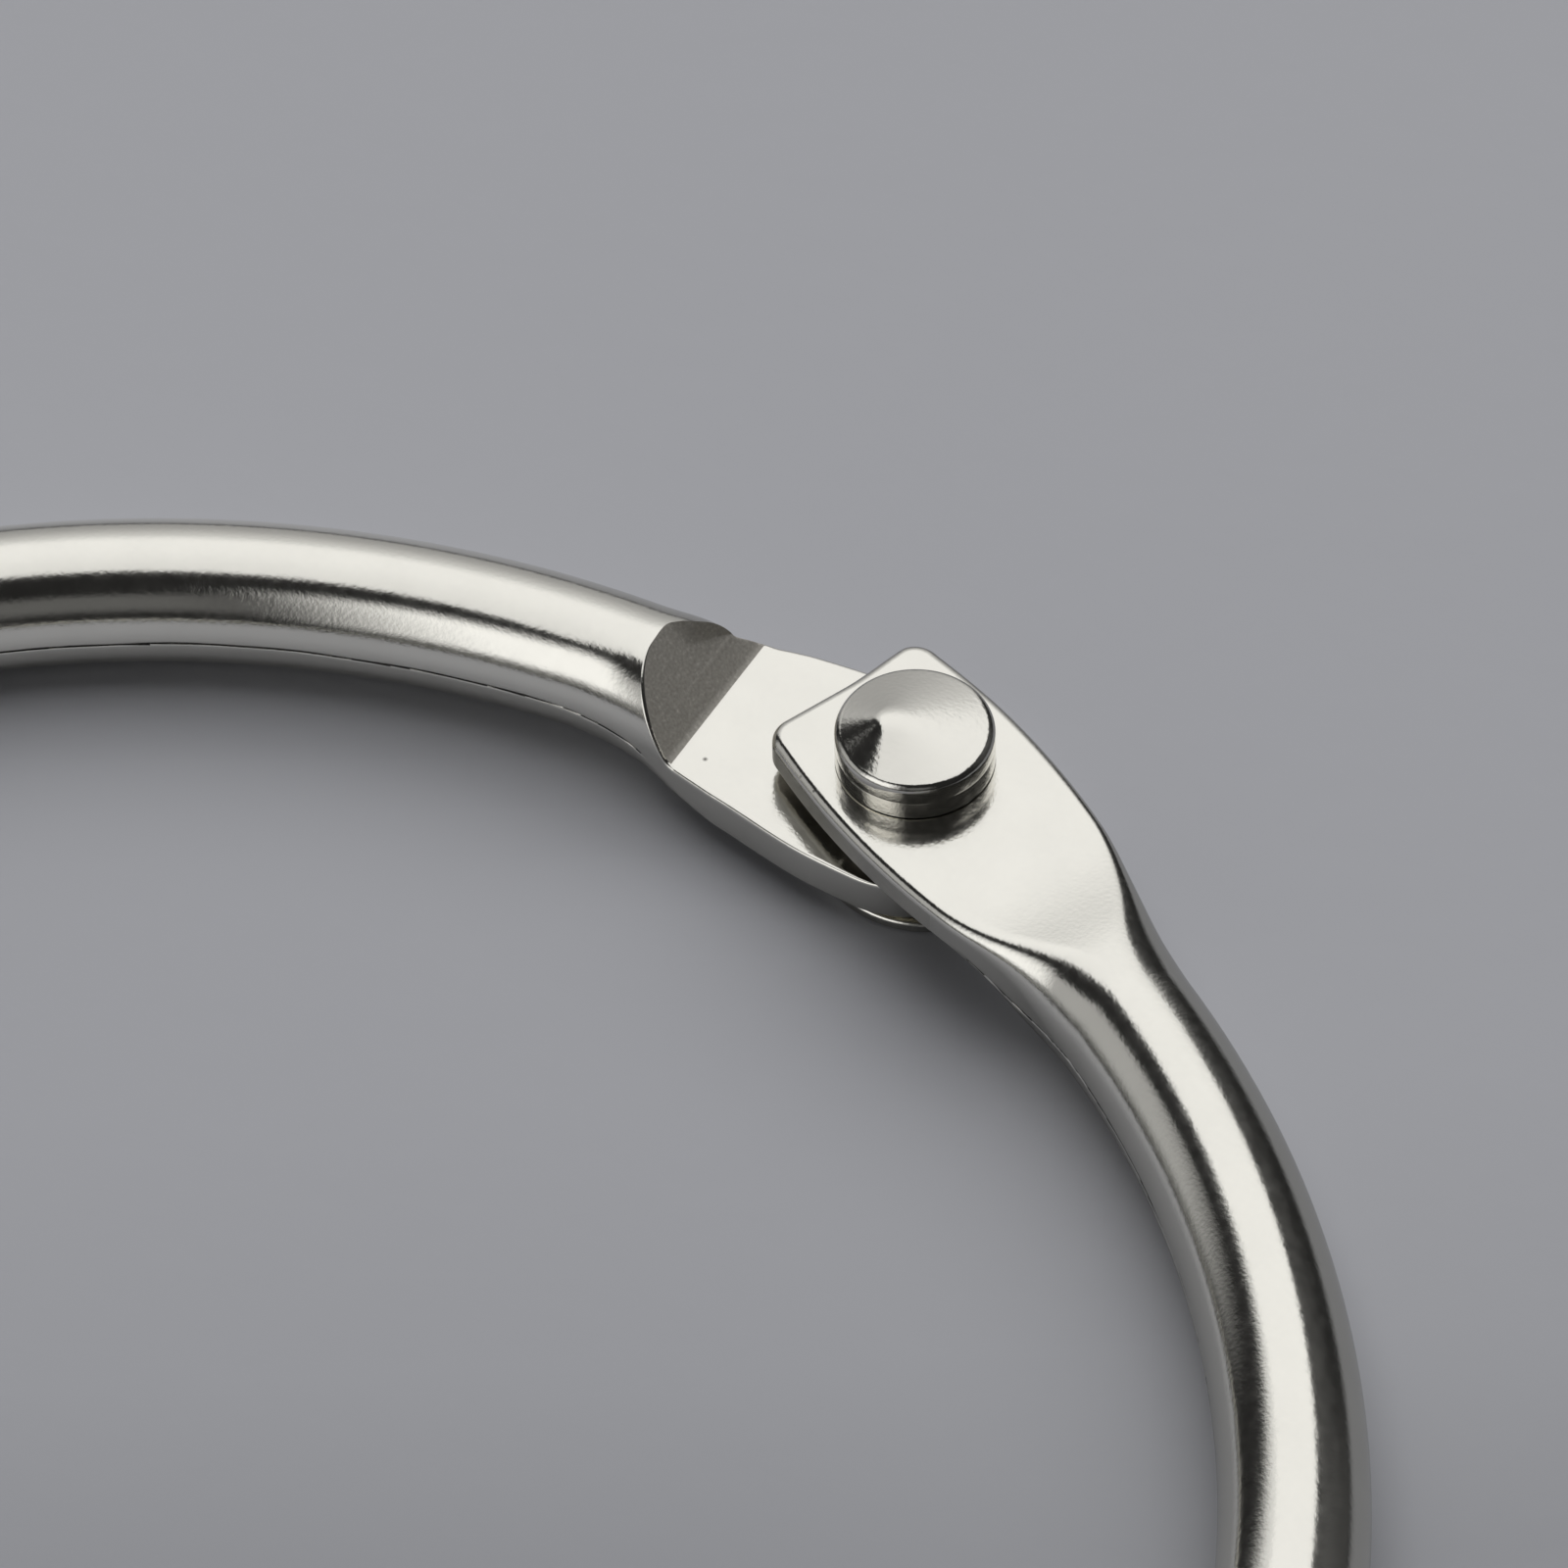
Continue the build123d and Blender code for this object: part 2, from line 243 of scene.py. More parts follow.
def lower_chain(width, bottom, low_corner, high_corner, cut, lip=0.0):
    """Half of a section that is cut level at a height, and whether it was cut.

    The rim of the cut is rolled, or a lip of the wire is left beside it and runs out in a slope.
    """
    low = (width - low_corner, bottom + low_corner)
    high = (width - high_corner, 2 * wire_radius - high_corner)
    chain = arc(*low, low_corner, FLAT - QUARTER, -FLAT, ARC)
    last = QUARTER - FLAT
    cut_off = cut < high[1] + high_corner * math.sin(last)
    side = arc(*low, low_corner, -FLAT, 0, LOW_ARC)
    if cut_off and cut <= high[1]:
        side.append((width, cut))
        lip = 0
    else:
        if cut_off:
            last = math.asin((cut - high[1]) / high_corner)
            reach = high_corner * math.cos(last)
            lip = min(lip, rim_share * (high[0] + reach), lip_share * reach)
            last = math.acos(math.cos(last) - lip / high_corner)
        side += arc(*high, high_corner, 0, last, HIGH_ARC)
    p, run = measured(side)
    corner = side[-1]
    has_lip = cut_off and lip > least_lip
    rim = min(step_rim, rim_share * corner[0]) if cut_off else plain_rim
    mark = run[-1] - (least_lip if has_lip else rim)
    before = points_at(p, run, [mark])[0]
    fine = min(seam_band, seam_band_share * mark)
    chain += points_at(p, run, two_spans(fine, mark, SEAM_SIDE, CUT_SIDE - SEAM_SIDE))
    shares = np.linspace(0, 1, RIM + 1)[1:]
    if has_lip:
        chain += [(before[0] - lip_spread * lip * t, cut + (before[1] - cut) * (1 - t)**2) for t in shares]
    elif cut_off:
        after = (corner[0] - rim, corner[1])
        for t in shares:
            a, b, c = (1 - t)**2, 2 * t * (1 - t), t * t
            chain.append(tuple(a * before[k] + b * corner[k] + c * after[k] for k in (0, 1)))
    else:
        chain += resample([before] + [q for q, r in zip(side, run) if r > mark], RIM)[1:]
    return chain, cut_off


def wander(along):
    """How far the seam strays up and down along the wire."""
    return sum(size * math.sin(turn * along + start) for size, turn, start in seam_waves)


def seam_line(bottom, low_corner, neck_end):
    """Height of the seam: where the low corner of a neck meets its side, and half way up the round wire."""
    def height(along):
        return bottom(along) + low_corner(along) if along < neck_end else wire_radius
    return height


def seam(points, along, start, height):
    """Presses the fine line left along the inside of the wire into the inner chain of a section."""
    reach = smooth(start, start + seam_run_in, along)
    if reach == 0:
        return points
    # Deeper in some places than in others
    bite = 0.75 + 0.25 * math.sin(5.1 * along) * math.sin(1.7 * along + 0.6)
    result = []
    for u, v in points:
        off = abs(v - height - wander(along)) / seam_reach
        pressed = reach * bite * seam_depth * max(0, 1 - off) if u > seam_inside else 0
        result.append((u - pressed, v))
    return result


def wire_stations(start):
    """Lengths along the round wire, up to its chamfered end."""
    chamfer_along = end_along - end_chamfer
    n = int((chamfer_along - start) / STATION_GAP)
    return list(np.linspace(start, chamfer_along, n + 1)[1:]) + [end_along]


def chamfered(line, along):
    """A line of a section, drawn in where the end of the wire is chamfered."""
    if along <= end_along - end_chamfer:
        return line
    share = 1 - (along - end_along + end_chamfer) / wire_radius
    return [(u * share, wire_radius + (v - wire_radius) * share) for u, v in line]


def whole_section(along, *lines):
    """The outer and inner chains of a section, and its top and bottom lines."""
    outer, inner, top_line, bottom_line = (chamfered(line, along) for line in lines)
    return {OUTER: outer, INNER: inner}, top_line, bottom_line


# Meshes are built in millimetres and made in metres

def mesh_object(name, verts, faces, marks=None, materials=()):
    """A mesh in the scene, with a material slot for each face if marks are given."""
    mesh = bpy.data.meshes.new(name)
    mesh.from_pydata(verts, [], faces)
    mesh.update()
    for material in materials:
        mesh.materials.append(material)
    if marks is not None:
        mesh.polygons.foreach_set("material_index", marks)
    obj = bpy.data.objects.new(name, mesh)
    bpy.context.scene.collection.objects.link(obj)
    return obj


def turned(name, profile, centre, direction, segments, lean=None, materials=()):
    """A closed body turned about an axis.

    The profile's points are (along the axis, radius), from end to end. A lean moves them off the axis.
    """
    axis = Vector(direction).normalized()
    x = axis.orthogonal().normalized()
    y = axis.cross(x)
    verts, rings = [], []
    for along, radius in profile:
        at = Vector(centre) + axis * along
        if lean is not None:
            at += lean(along)
        if radius == 0:
            rings.append([len(verts)])
            verts.append(at)
            continue
        rings.append(list(range(len(verts), len(verts) + segments)))
        for k in range(segments):
            t = 2 * math.pi * k / segments
            verts.append(at + (x * math.cos(t) + y * math.sin(t)) * radius)
    faces = []
    for a, b in zip(rings, rings[1:]):
        for k in range(segments):
            n = (k + 1) % segments
            if len(a) == 1:
                faces.append((a[0], b[k], b[n]))
            elif len(b) == 1:
                faces.append((a[k], b[0], a[n]))
            else:
                faces.append((a[k], b[k], b[n], a[n]))
    return mesh_object(name, verts, faces, None, materials)


def cut_with(obj, cutter, operation="DIFFERENCE"):
    """Cuts one body with another or joins them, and removes the other."""
    tool = obj.modifiers.new("cut", "BOOLEAN")
    tool.operation = operation
    tool.solver = "EXACT"
    tool.object = cutter
    depsgraph = bpy.context.evaluated_depsgraph_get()
    mesh = bpy.data.meshes.new_from_object(obj.evaluated_get(depsgraph))
    obj.modifiers.clear()
    obj.data = mesh
    bpy.data.objects.remove(cutter)


def rivet_hole(span, clearance):
    """Cutter for the shank's hole through a tongue."""
    (low, high), radius = span, shank_radius + clearance
    profile = [(low, 0), (low, radius), (high, radius), (high, 0)]
    return turned("hole", profile, (0, hinge_radius, 0), UP, HOLE_SEGMENTS)


def close_up(obj, flats, body, node):
    """Outward normals, smooth shading with crisp flats, metres, and its place in the frame."""
    mesh = obj.data
    bm = bmesh.new()
    bm.from_mesh(mesh)
    bmesh.ops.recalc_face_normals(bm, faces=bm.faces)
    bm.normal_update()

    def flat(face):
        return any(face.normal.dot(direction) > FLAT_COSINE for direction in flats)
    for face in bm.faces:
        face.smooth = True
    kind = {face: flat(face) for face in bm.faces}
    for edge in bm.edges:
        if len(edge.link_faces) == 2:
            a, b = edge.link_faces
            apart = kind[a] != kind[b] or a.material_index != b.material_index
            edge.smooth = not (apart or a.normal.angle(b.normal, 0) > CRISP)
    for vert in bm.verts:
        vert.co *= MM
    bm.to_mesh(mesh)
    bm.free()
    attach(obj, body)
    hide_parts(node)


def plan_outline(points):
    """Outline points of a tongue with their inward directions; the first half is on the outer side."""
    result = []
    for i, (s, u) in enumerate(points):
        a = points[max(i - 1, 0)]
        b = points[min(i + 1, len(points) - 1)]
        t = Vector((b[0] - a[0], b[1] - a[1])).normalized()
        inward = (-t.y, t.x)
        if i == 0:
            inward = (0, -1)
        if i == len(points) - 1:
            inward = (0, 1)
        result.append(((s, u), inward, OUTER if 2 * i < len(points) else INNER))
    return result


def swept_half(name, side, section_at, points, stations, materials, seam_from, seam_height,
               dull_from_to=None, shaded_tongue=False):
    """A tongue with rolled edges, and the sections that follow it along the wire to the clasp."""
    outline = plan_outline(points)
    join_width = outline[0][0][1]
    chains, top_line, bottom_line = section_at(tongue_join)
    count = len(chains[OUTER])
    verts, faces, marks = [], [], []
    rings = []
    for (along, out), (n_along, n_out), where in outline:
        ring = []
        for u, v in chains[where]:
            inset = join_width - u
            ring.append(len(verts))
            verts.append(place(side, along + n_along * inset, out + n_out * inset, v))
        rings.append(ring)
    for a, b in zip(rings, rings[1:]):
        for k in range(count - 1):
            faces.append((a[k], a[k + 1], b[k + 1], b[k]))
            # Painted shade: the upper tongue's wall and low corner get a darker copy of the plating
            marks.append(SHADED_WALL if shaded_tongue and k < ARC + WALL else PLATE)

    def line_verts(line, along):
        first = len(verts)
        verts.extend(place(side, along, u, v) for u, v in line)
        return list(range(first, len(verts)))
    top_ids = line_verts(top_line, tongue_join)
    bottom_ids = line_verts(bottom_line, tongue_join)
    faces.append([ring[-1] for ring in rings] + top_ids[::-1])
    faces.append([ring[0] for ring in rings] + bottom_ids[::-1])
    # Painted shade: the upper tongue's underside, over the lower tongue, gets a dark dull material
    marks += [PLATE, DULL_FACE_AND_SHADE if shaded_tongue else PLATE]
    loop = rings[0] + top_ids + rings[-1][::-1] + bottom_ids[::-1]
    previous = tongue_join
    for along in stations:
        chains, top_line, bottom_line = section_at(along)
        inner = [(-u, v) for u, v in reversed(chains[INNER])]
        section = chains[OUTER] + top_line + inner + bottom_line[::-1]
        following = line_verts(section, along)
        size = len(loop)
        inner_start, inner_end = count + len(top_line), size - len(bottom_line) - 1
        on_step = dull_from_to is not None and previous >= dull_from_to[0] and along <= dull_from_to[1]
        for k in range(size):
            n = (k + 1) % size
            faces.append((loop[k], loop[n], following[n], following[k]))
            mark = DULL_FACE_AND_SHADE if on_step and count - 1 - RIM <= k < inner_start else PLATE
            # Painted shade: faces along the seam's groove get the dark seam material
            if along > seam_from and inner_start <= k < inner_end:
                middle = seam_height(along) + wander(along)
                if all(abs(section[q][1] - middle) < seam_shade_reach for q in (k, n)):
                    mark = SEAM_SHADE
            marks.append(mark)
        loop = following
        previous = along
    faces.append(loop)
    marks.append(PLATE)
    return mesh_object(name, verts, faces, marks, materials)


# The half with the ball

def make_ball_half():
    sizes = neck_sizes(upper_neck_end, upper_neck_shares)
    # Flank of the tongue: an arc through three points, with a rounded corner at the square end
    middle = (tongue_join - upper_end) / 2
    half = (tongue_join + upper_end) / 2
    mean_width = (upper_end_width + upper_join_width) / 2
    tilt = (upper_join_width - upper_end_width) / (2 * half)
    bow = upper_width - mean_width

    def flank(s):
        t = (s - middle) / half
        return mean_width + tilt * (s - middle) + bow * (1 - t * t)
    width = sizes(upper_join_width, wire_radius, upper_width_steps, tilt - 2 * bow / half)
    bottom = sizes(upper_bottom, 0, upper_bottom_steps)
    top = sizes(upper_top, 2 * wire_radius, upper_top_steps)
    corner = sizes(edge_radius, wire_radius, upper_corner_steps)
    low_corner = sizes(low_edge_radius, wire_radius, upper_corner_steps)
    seam_height = seam_line(bottom, low_corner, upper_neck_end)

    def section_at(s):
        at = min(s, upper_neck_end)
        low, high = (min(size(at), fullest_corner) for size in (low_corner, corner))
        chain, top_line, bottom_line = upper_section(width(at), bottom(at), top(at), low, high)
        inner = seam(chain, s, upper_seam_start, seam_height(s))
        return whole_section(s, chain, inner, top_line, bottom_line)
    corner_s = -upper_end + upper_corner
    corner_u = flank(corner_s) - upper_corner
    sweep = [(s, flank(s)) for s in np.linspace(tongue_join, corner_s, 60)]
    sweep += [(corner_s - upper_corner * math.sin(t), corner_u + upper_corner * math.cos(t))
              for t in np.linspace(0, QUARTER, 22)[1:]]
    sweep += [(-upper_end, u) for u in np.linspace(corner_u, 0, 14)[1:]]
    points = sweep + [(s, -u) for s, u in reversed(sweep[:-1])]
    askew = [smooth(0, askew_width, u) * smooth(0, -askew_length, s) for s, u in points]
    points = [(s - askew_cut * a, u - askew_trim * a) for (s, u), a in zip(points, askew)]
    stations = list(np.linspace(tongue_join, upper_neck_end, 96)[1:]) + wire_stations(upper_neck_end)
    obj = swept_half("ball_half_wire", RIGHT, section_at, points, stations,
                     [wire_plate, seam_shade, underside_shade, shaded_wall_plate], upper_seam_shade_start, seam_height,
                     shaded_tongue=True)
    cut_with(obj, rivet_hole(upper_hole_span, running_clearance))
    # Ball and stem of the clasp
    waist = math.asin(stem_radius / ball_radius)
    profile = [(-ball_radius, 0), (-ball_radius, stem_radius)]
    profile += [(ball_reach - ball_radius * math.cos(t), ball_radius * math.sin(t))
                for t in np.linspace(waist, math.pi, 40)[:-1]]
    profile.append((ball_reach + ball_radius, 0))
    pin = turned("pin", profile, (clasp_gap / 2, -ring_radius, wire_radius), (-1, 0, 0), CLASP_SEGMENTS)
    cut_with(obj, pin, "UNION")
    return obj


# The half with the socket

def make_socket_half():
    sizes = neck_sizes(lower_neck_end, lower_neck_shares)
    # Flank of the tongue: an arc that runs on from the round eye
    spread = eye_radius - lower_join_width
    flank_radius = tongue_join**2 / (2 * spread) + spread / 2
    width = sizes(lower_join_width, wire_radius, lower_width_steps, -tongue_join / (flank_radius - spread))
    bottom = sizes(lower_bottom, 0, lower_bottom_steps)
    low_corner = sizes(low_edge_radius, wire_radius, low_corner_steps)
    high_corner = sizes(wire_radius - edge_radius, wire_radius, high_corner_steps)
    flare, pinch, lip = swell(neck_flare), swell(neck_pinch), swell(step_lip)
    seam_height = seam_line(bottom, low_corner, lower_neck_end)

    def section_at(s):
        at = min(s, lower_neck_end)
        low, high = (min(size(at), fullest_corner) for size in (low_corner, high_corner))
        rest = (bottom(at), low, high, cut_height(s))
        outer, cut_off = lower_chain(width(at) + pinch(s), *rest, max(lip(s), 0))
        inner, cut_off = lower_chain(width(at) + flare(s), *rest)
        inner = seam(inner, s, lower_seam_start, seam_height(s))
        if cut_off:
            (u, v), (inner_u, inner_v) = outer[-1], inner[-1]
            top_line = resample([(u, v), (-inner_u, inner_v)], TOP)[1:-1]
        else:
            crown = (width(at) - high, 2 * wire_radius - high)
            top_line = cross_line(arc(*crown, high, QUARTER - FLAT, QUARTER, SHORT_ARC))
        base = (width(at) - low, bottom(at) + low)
        bottom_line = cross_line(arc(*base, low, FLAT - QUARTER, -QUARTER, SHORT_ARC))
        return whole_section(s, outer, inner, top_line, bottom_line)
    top_angle = math.asin(tongue_join / flank_radius)
    sweep = [(flank_radius * math.sin(t), eye_radius - flank_radius * (1 - math.cos(t)))
             for t in np.linspace(top_angle, 0, 50)]
    sweep += [(-eye_radius * math.sin(t), eye_radius * math.cos(t)) for t in np.linspace(0, QUARTER, 72)[1:]]
    points = sweep + [(s, -u * (1 + inner_bulge * smooth(tongue_join, bulge_along, s)))
                      for s, u in reversed(sweep[:-1])]
    stations = list(np.linspace(tongue_join, fold_start, 30)[1:])
    stations += list(np.linspace(fold_start, fold_end, 18)[1:])
    stations += [step_end - (step_end - fold_end) * t * t for t in np.linspace(1, 0, 64)[1:]]
    stations += list(np.linspace(step_end, lower_neck_end, 16)[1:])
    stations += wire_stations(lower_neck_end)
    obj = swept_half("socket_half_wire", LEFT, section_at, points, stations,
                     [wire_plate, seam_shade, step_face], lower_seam_shade_start, seam_height, dull_span)
    cut_with(obj, rivet_hole(lower_hole_span, press_clearance))
    # Socket of the clasp: a drilled bore with a chamfered mouth, and a slit
    end_x = -clasp_gap / 2
    mouth_radius = bore_radius + mouth_chamfer
    profile = [(-overrun, 0), (-overrun, mouth_radius), (0, mouth_radius), (mouth_chamfer, bore_radius),
               (bore_depth, bore_radius), (bore_depth, 0)]
    cut_with(obj, turned("bore", profile, (end_x, -ring_radius, wire_radius), (-1, 0, 0), CLASP_SEGMENTS))
    reach = wire_radius + overrun
    corners = [(x, y, z) for x in (end_x - slit_depth, end_x + overrun)
               for y in (-ring_radius - reach, -ring_radius + reach)
               for z in (wire_radius - slit_height / 2, wire_radius + slit_height / 2)]
    sides = [(0, 1, 3, 2), (4, 6, 7, 5), (0, 4, 5, 1), (2, 3, 7, 6), (0, 2, 6, 4), (1, 5, 7, 3)]
    cut_with(obj, mesh_object("slit", corners, sides))
    return obj


# The rivet

def make_rivet():
    head_bottom, head_radius, head_height, rim = upper_top + 0.03, 1.65, 0.9, 0.2
    head_edge, cone_lead = 0.02, 0.03
    groove = head_bottom + 0.46
    groove_line = ((-0.04, 0), (-0.02, 0.002), (0, 0.005), (0.02, 0.002), (0.04, 0))  # height, depth
    slope, tip_radius = math.radians(18.3), 1.2
    foot_lift, foot_top, foot_radius, foot_middle, edge = 0.02, 0.29, 2.36, 1.2, 0.08
    foot_bevel = ((foot_top + 0.02, 0.3), (lower_bottom - 0.05, 0.55), (lower_bottom, 0.6))  # height, inset
    foot_shift, dome_lean = Vector((0.28, 0.07, 0)), Vector((-0.29, -0.42, 0))
    # Foot, with rolled edges and a bevelled upper side
    rolled = np.linspace(0, QUARTER, 8)
    profile = [(foot_lift, 0), (foot_lift, foot_middle), (foot_lift, foot_radius - edge)]
    profile += [(foot_lift + edge - edge * math.cos(t), foot_radius - edge + edge * math.sin(t))
                for t in rolled[1:]]
    profile += [(foot_top - edge + edge * math.sin(t), foot_radius - edge + edge * math.cos(t)) for t in rolled]
    profile += [(height, foot_radius - inset) for height, inset in foot_bevel]
    # Shank, and the side of the head
    profile += [(lower_bottom, shank_radius), (head_bottom, shank_radius)]
    profile += [(head_bottom, head_radius - head_edge), (head_bottom + head_edge, head_radius)]
    profile += [(groove + height, head_radius - depth) for height, depth in groove_line]
    # Rolled rim, cone and rounded tip
    top = head_bottom + head_height
    cut = rim * math.tan((QUARTER - slope) / 2)
    profile += [(top - cut + rim * math.sin(t), head_radius - rim + rim * math.cos(t))
                for t in np.linspace(0, QUARTER - slope, 16)]
    cone_start = profile[-1][0]
    tip_edge = tip_radius * math.sin(slope)
    tip_centre = top + (head_radius - tip_edge) * math.tan(slope) - tip_radius * math.cos(slope)
    tip = tip_centre + tip_radius
    profile += [(top + (head_radius - r) * math.tan(slope), r)
                for r in np.linspace(head_radius - rim + rim * math.sin(slope) - cone_lead, tip_edge, 14)]
    profile += [(tip_centre + tip_radius * math.cos(t), tip_radius * math.sin(t))
                for t in np.linspace(slope, 0, 14)[1:-1]]
    profile.append((tip, 0))

    def lean(along):
        """The dome leans to one side, and the foot was closed a little off the axis."""
        if along > cone_start:
            return dome_lean * (along - cone_start) / (tip - cone_start)
        if along < lower_bottom - 0.01:
            return foot_shift
        return Vector((0, 0, 0))
    return turned("hinge_rivet_turned", profile, (0, hinge_radius, 0), UP, RIVET_SEGMENTS, lean, [rivet_plate])


# Materials

def nodes_of(material):
    """The node tree of a material and its shader."""
    material.use_nodes = True
    tree = material.node_tree
    return tree, tree.nodes["Principled BSDF"]


def feed(tree, socket, value):
    """Links an output to a socket, or sets the socket to a constant."""
    if isinstance(value, bpy.types.NodeSocket):
        tree.links.new(value, socket)
    else:
        socket.default_value = value


def noise(tree, coords, scale, detail):
    node = tree.nodes.new("ShaderNodeTexNoise")
    node.inputs["Scale"].default_value = scale
    node.inputs["Detail"].default_value = detail
    tree.links.new(coords, node.inputs["Vector"])
    return node.outputs["Fac"]


def gradient(tree, coords, kind, scale, shift, turn=0.0):
    """A straight or round gradient, turned about Z, scaled and shifted."""
    placing = tree.nodes.new("ShaderNodeMapping")
    placing.inputs["Rotation"].default_value = (0, 0, turn)
    placing.inputs["Scale"].default_value = (scale,) * 3
    placing.inputs["Location"].default_value = shift
    tree.links.new(coords, placing.inputs["Vector"])
    node = tree.nodes.new("ShaderNodeTexGradient")
    node.gradient_type = kind
    tree.links.new(placing.outputs["Vector"], node.inputs["Vector"])
    return node.outputs["Fac"]


def mixed(tree, factor, a, b, blend="MIX"):
    """Two colours, mixed or multiplied."""
    node = tree.nodes.new("ShaderNodeMix")
    node.data_type = "RGBA"
    node.blend_type = blend
    for name, value in (("Factor", factor), ("A", a), ("B", b)):
        feed(tree, node.inputs[name], value)
    return node.outputs["Result"]


def ramp(tree, value, stops):
    """Colours by value, from stops of (value, colour)."""
    node = tree.nodes.new("ShaderNodeValToRGB")
    for element, (at, colour) in zip(node.color_ramp.elements, (stops[0], stops[-1])):
        element.position = at
        element.color = (*colour, 1)
    for at, colour in stops[1:-1]:
        node.color_ramp.elements.new(at).color = (*colour, 1)
    tree.links.new(value, node.inputs["Fac"])
    return node.outputs["Color"]


def map_range(tree, value, low, high, at_low, at_high, kind="LINEAR"):
    """One range of values turned into another."""
    node = tree.nodes.new("ShaderNodeMapRange")
    node.interpolation_type = kind
    for name, limit in (("From Min", low), ("From Max", high), ("To Min", at_low), ("To Max", at_high)):
        node.inputs[name].default_value = limit
    tree.links.new(value, node.inputs["Value"])
    return node.outputs["Result"]


def bump(tree, height, distance, under=None):
    """A rough surface of some depth in metres, over another if one is given."""
    node = tree.nodes.new("ShaderNodeBump")
    node.inputs["Strength"].default_value = 1.0
    node.inputs["Distance"].default_value = distance
    tree.links.new(height, node.inputs["Height"])
    if under is not None:
        tree.links.new(under, node.inputs["Normal"])
    return node.outputs["Normal"]


def plated(name, warm, dull, grain, pits=()):
    """Bright plating with a fine grain, faint waves and a few pits.

    The grain is a depth in metres, and each pit a place and a radius in millimetres.
    """
    grain_scale, tone_scale, dull_scale, wave_scale = 11000, 900, 5000, 1100
    wave_depth, pale_share, low, high = 0.0000006, 0.97, 0.3, 0.7
    pit_tone = (0.03, 0.029, 0.026, 1)
    material = bpy.data.materials.new(name)
    tree, shader = nodes_of(material)
    coords = tree.nodes.new("ShaderNodeTexCoord").outputs["Object"]
    tones = [(low, tuple(c * pale_share for c in warm)), (high, warm)]
    base = ramp(tree, noise(tree, coords, tone_scale, 2), tones)
    for x, y, z, radius in pits:
        shift = (-x / radius, -y / radius, -z / radius)
        base = mixed(tree, gradient(tree, coords, "SPHERICAL", 1 / (radius * MM), shift), base, pit_tone)
    tree.links.new(base, shader.inputs["Base Color"])
    shader.inputs["Metallic"].default_value = 1.0
    spread = map_range(tree, noise(tree, coords, dull_scale, 3), low, high, dull * 0.8, dull * 1.2)
    tree.links.new(spread, shader.inputs["Roughness"])
    wave = bump(tree, noise(tree, coords, wave_scale, 1), wave_depth)
    tree.links.new(bump(tree, noise(tree, coords, grain_scale, 2), grain, wave), shader.inputs["Normal"])
    return material


def sheared(name, tones, rough):
    """A dull, grainy face, also used with dark tones for painted shade."""
    grain_scale, grain, stops = 14000, 0.000004, (0.3, 0.6, 0.8)
    material = bpy.data.materials.new(name)
    tree, shader = nodes_of(material)
    coords = tree.nodes.new("ShaderNodeTexCoord").outputs["Object"]
    fine = noise(tree, coords, grain_scale, 4)
    tree.links.new(ramp(tree, fine, list(zip(stops, tones))), shader.inputs["Base Color"])
    shader.inputs["Metallic"].default_value = 1.0
    shader.inputs["Roughness"].default_value = rough
    tree.links.new(bump(tree, fine, grain), shader.inputs["Normal"])
    return material


PITS = ((-3.858, 21.788, 1.53, 0.07), (-1.457, 22.09, 2.62, 0.06), (-0.982, 21.989, 2.62, 0.05))
wire_plate = plated("wire_plate", (0.72, 0.706, 0.655), 0.14, 0.0000025, PITS)
rivet_plate = plated("rivet_plate", (0.71, 0.695, 0.645), 0.13, 0.0000035)
# Rougher plating, painted darker as shade on the upper tongue's wall
shaded_wall_plate = plated("shaded_wall_plate", (0.6, 0.585, 0.54), 0.42, 0.000003)
step_face = sheared("step_face", [(0.44, 0.42, 0.385), (0.54, 0.52, 0.48), (0.7, 0.68, 0.64)], 0.72)
# Painted shade in the seam's groove: a near-black dull face
seam_shade = sheared("seam_shade", [(0.03, 0.029, 0.027), (0.06, 0.058, 0.054), (0.1, 0.098, 0.09)], 0.5)
# Painted shade under the upper tongue, where it lies over the lower one
underside_shade = sheared("underside_shade", [(0.14, 0.132, 0.12), (0.18, 0.17, 0.155), (0.24, 0.23, 0.21)], 0.45)

toward_hinge = Vector(place(LEFT, 0, 0, 0)) - Vector(place(LEFT, 1, 0, 0))
step_normal = toward_hinge.normalized() * math.sin(step_slope) + UP * math.cos(step_slope)
close_up(make_ball_half(), (UP, DOWN), "ball_side", "ball_half")
close_up(make_socket_half(), (UP, DOWN, step_normal), "socket_side", "socket_half")
close_up(make_rivet(), (UP, DOWN), "socket_side", "hinge_rivet")


# Floor

VIEW_TURN = math.radians(44.2)  # the photo's view, turned about Z
FLOOR_REACH = 3.0  # metres

paper = bpy.data.materials.new("floor_paper")
paper_tree, paper_shader = nodes_of(paper)
paper_coords = paper_tree.nodes.new("ShaderNodeTexCoord").outputs["Object"]
# Painted shade: the floor paper darkens towards the camera
painted_floor_fall = gradient(paper_tree, paper_coords, "LINEAR", 25.3, (0.03, 0, 0), -VIEW_TURN - QUARTER)
shaded_paper_tone = ramp(paper_tree, painted_floor_fall,
                  [(0.0, (0.475, 0.482, 0.514)), (0.13, (0.545, 0.552, 0.589)),
                   (0.3, (0.582, 0.589, 0.629)), (1.0, (0.607, 0.614, 0.654))])
